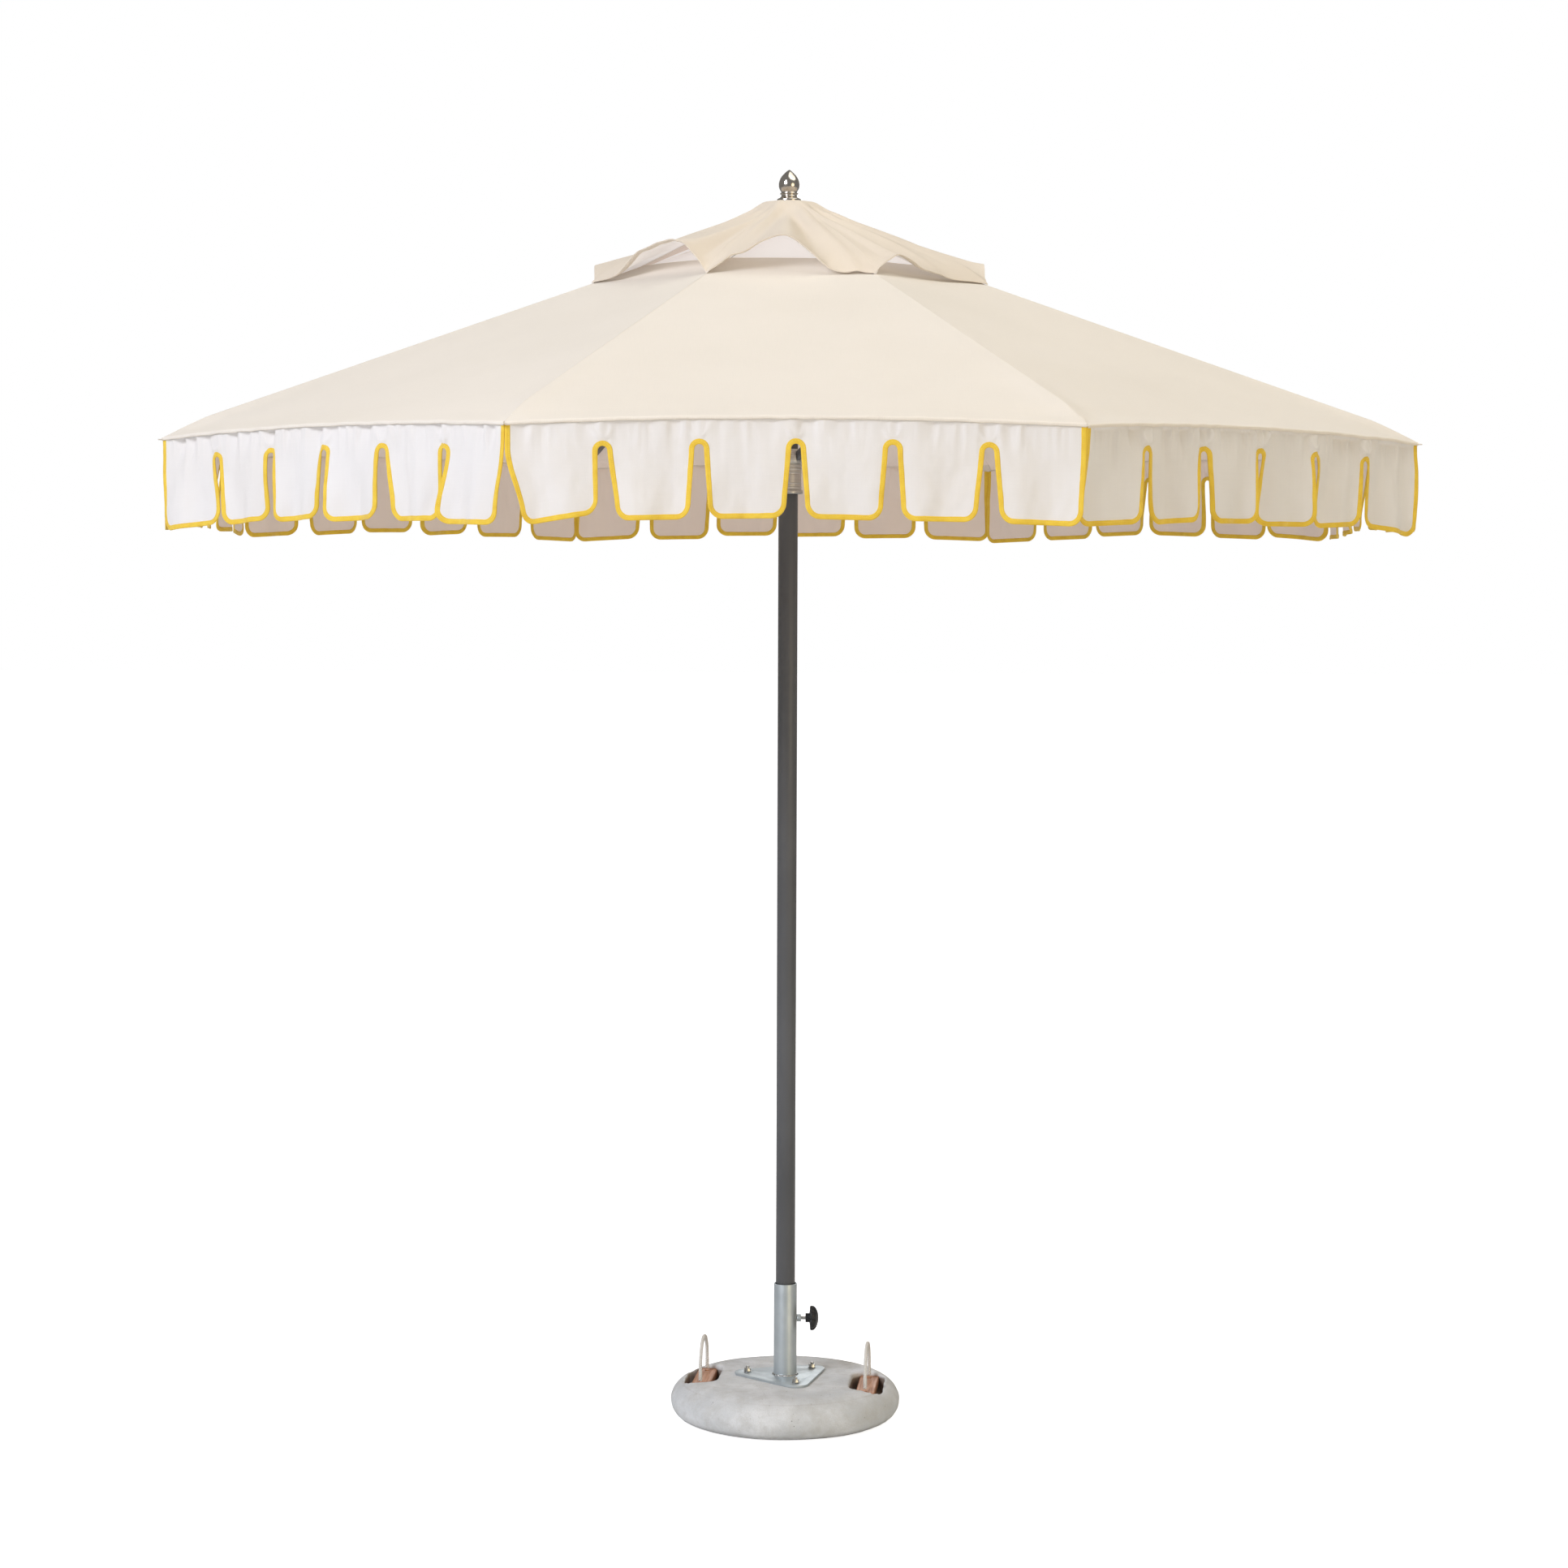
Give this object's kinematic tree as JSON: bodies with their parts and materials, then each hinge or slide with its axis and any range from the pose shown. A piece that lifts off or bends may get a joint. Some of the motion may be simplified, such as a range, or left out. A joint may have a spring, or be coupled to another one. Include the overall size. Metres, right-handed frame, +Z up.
{
  "type": "garden parasol with base",
  "caption": "Octagonal market parasol with vented canopy and slotted valance, on a pole clamped in a round concrete base; folds, lifts out and turns.",
  "frame": {"origin": "centre of the base on the ground, on the pole's axis", "axes": "+Z up along the pole, -Y the front of the parasol, +X the side of the clamp knob"},
  "size_m": [2.5142, 2.5142, 2.707],
  "materials": {
    "concrete": "cast concrete, matt, fine pores",
    "wood": "oiled",
    "rope": "twisted three-strand",
    "zinc": "galvanised, satin",
    "black_plastic": "moulded, matt",
    "charcoal_paint": "charcoal powder coat, fine texture",
    "steel": "brushed",
    "nickel": "polished nickel",
    "canvas": "woven canvas, matt",
    "binding": "woven tape, stitched"
  },
  "bodies": {
    "base": {"concrete_base": "concrete", "handle_slat_1": "wood", "handle_slat_2": "wood", "pole_socket": "zinc", "base_bolt_1": "zinc", "base_bolt_2": "zinc", "base_bolt_3": "zinc", "clamp_nut": "zinc"},
    "foot": {"pole_foot": "black_plastic"},
    "pole": {"pole": "charcoal_paint", "crown_hub": "black_plastic", "finial": "nickel", "vent_cap": "canvas"},
    "runner": {"runner": "steel"},
    "button": {"release_button": "black_plastic"},
    "clamp_screw": {"clamp_screw": "zinc"},
    "clamp_knob": {"clamp_knob": "black_plastic"},
    "handle_rope_1": {"handle_rope_1": "rope"},
    "handle_rope_2": {"handle_rope_2": "rope"},
    "rib_1": {"rib_1": "charcoal_paint", "rib_bracket_1": "charcoal_paint"},
    "strut_1": {"strut_1": "charcoal_paint"},
    "rib_2": {"rib_2": "charcoal_paint", "rib_bracket_2": "charcoal_paint"},
    "strut_2": {"strut_2": "charcoal_paint"},
    "rib_3": {"rib_3": "charcoal_paint", "rib_bracket_3": "charcoal_paint"},
    "strut_3": {"strut_3": "charcoal_paint"},
    "rib_4": {"rib_4": "charcoal_paint", "rib_bracket_4": "charcoal_paint"},
    "strut_4": {"strut_4": "charcoal_paint"},
    "rib_5": {"rib_5": "charcoal_paint", "rib_bracket_5": "charcoal_paint"},
    "strut_5": {"strut_5": "charcoal_paint"},
    "rib_6": {"rib_6": "charcoal_paint", "rib_bracket_6": "charcoal_paint"},
    "strut_6": {"strut_6": "charcoal_paint"},
    "rib_7": {"rib_7": "charcoal_paint", "rib_bracket_7": "charcoal_paint"},
    "strut_7": {"strut_7": "charcoal_paint"},
    "rib_8": {"rib_8": "charcoal_paint", "rib_bracket_8": "charcoal_paint"},
    "strut_8": {"strut_8": "charcoal_paint"},
    "panel_1": {"canopy_panel_1": "canvas"},
    "valance_1": {"valance_1": "canvas"},
    "panel_2": {"canopy_panel_2": "canvas"},
    "valance_2": {"valance_2": "canvas"},
    "panel_3": {"canopy_panel_3": "canvas"},
    "valance_3": {"valance_3": "canvas"},
    "panel_4": {"canopy_panel_4": "canvas"},
    "valance_4": {"valance_4": "canvas"},
    "panel_5": {"canopy_panel_5": "canvas"},
    "valance_5": {"valance_5": "canvas"},
    "panel_6": {"canopy_panel_6": "canvas"},
    "valance_6": {"valance_6": "canvas"},
    "panel_7": {"canopy_panel_7": "canvas"},
    "valance_7": {"valance_7": "canvas"},
    "panel_8": {"canopy_panel_8": "canvas"},
    "valance_8": {"valance_8": "canvas"}
  },
  "joints": [
    {"name": "pole_lift", "type": "slide", "parent": "base", "child": "foot", "axis": [0, 0, 1], "range_m": [0, 0.22]},
    {"name": "pole_turn", "type": "hinge", "parent": "foot", "child": "pole", "pos_m": [0, 0, 0.15], "axis": [0, 0, 1], "continuous": true},
    {"name": "canopy_fold", "type": "hinge", "parent": "pole", "child": "rib_1", "pos_m": [-0.01913, -0.04619, 2.5729], "axis": [0.9239, -0.3827, 0], "range_deg": [0, 66.5], "deforming": ["vent_cap"]},
    {"name": "strut_1_fold", "type": "hinge", "parent": "rib_1", "child": "strut_1", "pos_m": [-0.24616, -0.59428, 2.33276], "axis": [0.9239, -0.3827, 0], "range_deg": [-133.2, 0.2]},
    {"name": "runner_pivot", "type": "hinge", "parent": "strut_1", "child": "runner", "pos_m": [-0.01913, -0.04619, 2.09263], "axis": [0.9239, -0.3827, 0], "range_deg": [-0.2, 66.7]},
    {"name": "rib_2_fold", "type": "hinge", "parent": "pole", "child": "rib_2", "pos_m": [0.01913, -0.04619, 2.5729], "axis": [0.9239, 0.3827, 0], "range_deg": [0, 66.5]},
    {"name": "strut_2_fold", "type": "hinge", "parent": "rib_2", "child": "strut_2", "pos_m": [0.24616, -0.59428, 2.33276], "axis": [0.9239, 0.3827, 0], "range_deg": [-133.2, 0.2]},
    {"name": "rib_3_fold", "type": "hinge", "parent": "pole", "child": "rib_3", "pos_m": [0.04619, -0.01913, 2.5729], "axis": [0.3827, 0.9239, 0], "range_deg": [0, 66.5]},
    {"name": "strut_3_fold", "type": "hinge", "parent": "rib_3", "child": "strut_3", "pos_m": [0.59428, -0.24616, 2.33276], "axis": [0.3827, 0.9239, 0], "range_deg": [-133.2, 0.2]},
    {"name": "rib_4_fold", "type": "hinge", "parent": "pole", "child": "rib_4", "pos_m": [0.04619, 0.01913, 2.5729], "axis": [-0.3827, 0.9239, 0], "range_deg": [0, 66.5]},
    {"name": "strut_4_fold", "type": "hinge", "parent": "rib_4", "child": "strut_4", "pos_m": [0.59428, 0.24616, 2.33276], "axis": [-0.3827, 0.9239, 0], "range_deg": [-133.2, 0.2]},
    {"name": "rib_5_fold", "type": "hinge", "parent": "pole", "child": "rib_5", "pos_m": [0.01913, 0.04619, 2.5729], "axis": [-0.9239, 0.3827, 0], "range_deg": [0, 66.5]},
    {"name": "strut_5_fold", "type": "hinge", "parent": "rib_5", "child": "strut_5", "pos_m": [0.24616, 0.59428, 2.33276], "axis": [-0.9239, 0.3827, 0], "range_deg": [-133.2, 0.2]},
    {"name": "rib_6_fold", "type": "hinge", "parent": "pole", "child": "rib_6", "pos_m": [-0.01913, 0.04619, 2.5729], "axis": [-0.9239, -0.3827, 0], "range_deg": [0, 66.5]},
    {"name": "strut_6_fold", "type": "hinge", "parent": "rib_6", "child": "strut_6", "pos_m": [-0.24616, 0.59428, 2.33276], "axis": [-0.9239, -0.3827, 0], "range_deg": [-133.2, 0.2]},
    {"name": "rib_7_fold", "type": "hinge", "parent": "pole", "child": "rib_7", "pos_m": [-0.04619, 0.01913, 2.5729], "axis": [-0.3827, -0.9239, 0], "range_deg": [0, 66.5]},
    {"name": "strut_7_fold", "type": "hinge", "parent": "rib_7", "child": "strut_7", "pos_m": [-0.59428, 0.24616, 2.33276], "axis": [-0.3827, -0.9239, 0], "range_deg": [-133.2, 0.2]},
    {"name": "rib_8_fold", "type": "hinge", "parent": "pole", "child": "rib_8", "pos_m": [-0.04619, -0.01913, 2.5729], "axis": [0.3827, -0.9239, 0], "range_deg": [0, 66.5]},
    {"name": "strut_8_fold", "type": "hinge", "parent": "rib_8", "child": "strut_8", "pos_m": [-0.59428, -0.24616, 2.33276], "axis": [0.3827, -0.9239, 0], "range_deg": [-133.2, 0.2]},
    {"name": "release_button_press", "type": "slide", "parent": "runner", "child": "button", "axis": [1, 0, 0], "range_m": [0, 0.004], "stiffness_N_per_m": 400},
    {"name": "panel_1_fold", "type": "hinge", "parent": "pole", "child": "panel_1", "pos_m": [0, -0.04619, 2.5729], "axis": [1, 0, 0], "range_deg": [-0.2, 65.49], "deforming": ["canopy_panel_1"]},
    {"name": "valance_1_hang", "type": "hinge", "parent": "panel_1", "child": "valance_1", "pos_m": [0, -1.25648, 2.107], "axis": [1, 0, 0], "range_deg": [-65.49, 0.2], "deforming": ["valance_1"]},
    {"name": "panel_2_fold", "type": "hinge", "parent": "pole", "child": "panel_2", "pos_m": [0.03266, -0.03266, 2.5729], "axis": [0.7071, 0.7071, 0], "range_deg": [-0.2, 65.49], "deforming": ["canopy_panel_2"]},
    {"name": "valance_2_hang", "type": "hinge", "parent": "panel_2", "child": "valance_2", "pos_m": [0.88846, -0.88846, 2.107], "axis": [0.7071, 0.7071, 0], "range_deg": [-65.49, 0.2], "deforming": ["valance_2"]},
    {"name": "panel_3_fold", "type": "hinge", "parent": "pole", "child": "panel_3", "pos_m": [0.04619, 0, 2.5729], "axis": [0, 1, 0], "range_deg": [-0.2, 65.49], "deforming": ["canopy_panel_3"]},
    {"name": "valance_3_hang", "type": "hinge", "parent": "panel_3", "child": "valance_3", "pos_m": [1.25648, 0, 2.107], "axis": [0, 1, 0], "range_deg": [-65.49, 0.2], "deforming": ["valance_3"]},
    {"name": "panel_4_fold", "type": "hinge", "parent": "pole", "child": "panel_4", "pos_m": [0.03266, 0.03266, 2.5729], "axis": [-0.7071, 0.7071, 0], "range_deg": [-0.2, 65.49], "deforming": ["canopy_panel_4"]},
    {"name": "valance_4_hang", "type": "hinge", "parent": "panel_4", "child": "valance_4", "pos_m": [0.88846, 0.88846, 2.107], "axis": [-0.7071, 0.7071, 0], "range_deg": [-65.49, 0.2], "deforming": ["valance_4"]},
    {"name": "panel_5_fold", "type": "hinge", "parent": "pole", "child": "panel_5", "pos_m": [0, 0.04619, 2.5729], "axis": [-1, 0, 0], "range_deg": [-0.2, 65.49], "deforming": ["canopy_panel_5"]},
    {"name": "valance_5_hang", "type": "hinge", "parent": "panel_5", "child": "valance_5", "pos_m": [0, 1.25648, 2.107], "axis": [-1, 0, 0], "range_deg": [-65.49, 0.2], "deforming": ["valance_5"]},
    {"name": "panel_6_fold", "type": "hinge", "parent": "pole", "child": "panel_6", "pos_m": [-0.03266, 0.03266, 2.5729], "axis": [-0.7071, -0.7071, 0], "range_deg": [-0.2, 65.49], "deforming": ["canopy_panel_6"]},
    {"name": "valance_6_hang", "type": "hinge", "parent": "panel_6", "child": "valance_6", "pos_m": [-0.88846, 0.88846, 2.107], "axis": [-0.7071, -0.7071, 0], "range_deg": [-65.49, 0.2], "deforming": ["valance_6"]},
    {"name": "panel_7_fold", "type": "hinge", "parent": "pole", "child": "panel_7", "pos_m": [-0.04619, 0, 2.5729], "axis": [0, -1, 0], "range_deg": [-0.2, 65.49], "deforming": ["canopy_panel_7"]},
    {"name": "valance_7_hang", "type": "hinge", "parent": "panel_7", "child": "valance_7", "pos_m": [-1.25648, 0, 2.107], "axis": [0, -1, 0], "range_deg": [-65.49, 0.2], "deforming": ["valance_7"]},
    {"name": "panel_8_fold", "type": "hinge", "parent": "pole", "child": "panel_8", "pos_m": [-0.03266, -0.03266, 2.5729], "axis": [0.7071, -0.7071, 0], "range_deg": [-0.2, 65.49], "deforming": ["canopy_panel_8"]},
    {"name": "valance_8_hang", "type": "hinge", "parent": "panel_8", "child": "valance_8", "pos_m": [-0.88846, -0.88846, 2.107], "axis": [0.7071, -0.7071, 0], "range_deg": [-65.49, 0.2], "deforming": ["valance_8"]},
    {"name": "clamp_travel", "type": "slide", "parent": "base", "child": "clamp_screw", "axis": [1, 0, 0], "range_m": [-0.0001, 0.0033]},
    {"name": "clamp_turn", "type": "hinge", "parent": "clamp_screw", "child": "clamp_knob", "pos_m": [0.055, 0, 0.216], "axis": [1, 0, 0], "range_deg": [0, 900]},
    {"name": "handle_1_swing", "type": "hinge", "parent": "base", "child": "handle_rope_1", "pos_m": [-0.17866, 0.03473, 0.0803], "axis": [-0.1045, -0.9945, 0], "range_deg": [-70, 75]},
    {"name": "handle_2_swing", "type": "hinge", "parent": "base", "child": "handle_rope_2", "pos_m": [0.17866, -0.03473, 0.0803], "axis": [0.1045, 0.9945, 0], "range_deg": [-70, 75]}
  ],
  "couplings": [
    {"joint": "strut_1_fold", "follows": "canopy_fold", "ratio": -2},
    {"joint": "runner_pivot", "follows": "canopy_fold", "ratio": 1},
    {"joint": "rib_2_fold", "follows": "canopy_fold", "ratio": 1},
    {"joint": "strut_2_fold", "follows": "canopy_fold", "ratio": -2},
    {"joint": "rib_3_fold", "follows": "canopy_fold", "ratio": 1},
    {"joint": "strut_3_fold", "follows": "canopy_fold", "ratio": -2},
    {"joint": "rib_4_fold", "follows": "canopy_fold", "ratio": 1},
    {"joint": "strut_4_fold", "follows": "canopy_fold", "ratio": -2},
    {"joint": "rib_5_fold", "follows": "canopy_fold", "ratio": 1},
    {"joint": "strut_5_fold", "follows": "canopy_fold", "ratio": -2},
    {"joint": "rib_6_fold", "follows": "canopy_fold", "ratio": 1},
    {"joint": "strut_6_fold", "follows": "canopy_fold", "ratio": -2},
    {"joint": "rib_7_fold", "follows": "canopy_fold", "ratio": 1},
    {"joint": "strut_7_fold", "follows": "canopy_fold", "ratio": -2},
    {"joint": "rib_8_fold", "follows": "canopy_fold", "ratio": 1},
    {"joint": "strut_8_fold", "follows": "canopy_fold", "ratio": -2},
    {"joint": "panel_1_fold", "follows": "canopy_fold", "ratio": 0.9818},
    {"joint": "valance_1_hang", "follows": "canopy_fold", "ratio": -0.9818},
    {"joint": "panel_2_fold", "follows": "canopy_fold", "ratio": 0.9818},
    {"joint": "valance_2_hang", "follows": "canopy_fold", "ratio": -0.9818},
    {"joint": "panel_3_fold", "follows": "canopy_fold", "ratio": 0.9818},
    {"joint": "valance_3_hang", "follows": "canopy_fold", "ratio": -0.9818},
    {"joint": "panel_4_fold", "follows": "canopy_fold", "ratio": 0.9818},
    {"joint": "valance_4_hang", "follows": "canopy_fold", "ratio": -0.9818},
    {"joint": "panel_5_fold", "follows": "canopy_fold", "ratio": 0.9818},
    {"joint": "valance_5_hang", "follows": "canopy_fold", "ratio": -0.9818},
    {"joint": "panel_6_fold", "follows": "canopy_fold", "ratio": 0.9818},
    {"joint": "valance_6_hang", "follows": "canopy_fold", "ratio": -0.9818},
    {"joint": "panel_7_fold", "follows": "canopy_fold", "ratio": 0.9818},
    {"joint": "valance_7_hang", "follows": "canopy_fold", "ratio": -0.9818},
    {"joint": "panel_8_fold", "follows": "canopy_fold", "ratio": 0.9818},
    {"joint": "valance_8_hang", "follows": "canopy_fold", "ratio": -0.9818},
    {"joint": "clamp_travel", "follows": "clamp_turn", "m_per_rad": 0.00019894}
  ]
}
